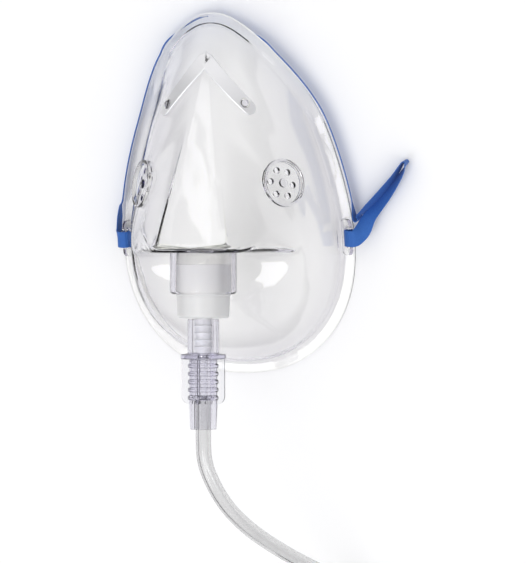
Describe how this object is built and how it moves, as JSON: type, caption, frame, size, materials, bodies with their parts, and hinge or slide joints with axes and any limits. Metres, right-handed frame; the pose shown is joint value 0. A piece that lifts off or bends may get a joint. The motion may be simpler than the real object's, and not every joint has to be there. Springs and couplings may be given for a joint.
{
  "type": "oxygen face mask",
  "caption": "Clear oxygen face mask lying on its rim: vented nose-shaped shell with collar, nose clip, elastic strap, inlet adapter, ribbed tubing connector and coiled supply tube.",
  "frame": {"origin": "middle of the sealing lip's underside at the chin, where the mask rests on its rim", "axes": "+Z away from the face, out of the front of the mask; +Y from the chin to the nose; +X to the right as seen from the front"},
  "size_m": [0.1403, 0.3286, 0.0591],
  "materials": {
    "clear_vinyl": "clear gloss",
    "aluminium": "satin strip",
    "white_polypropylene": "translucent satin",
    "tinted_vinyl": "clear violet-blue tint, gloss",
    "tube_vinyl": "clear gloss",
    "blue_elastic": "woven elastic"
  },
  "bodies": {
    "root": {"mask_shell": "clear_vinyl", "nose_clip": "aluminium", "inlet_adapter": "white_polypropylene", "tubing_connector": "tinted_vinyl", "supply_tube": "tube_vinyl", "supply_tube_coil": "tube_vinyl", "supply_tube_tail": "tube_vinyl", "supply_plug": "tinted_vinyl", "head_strap": "blue_elastic"}
  },
  "joints": []
}
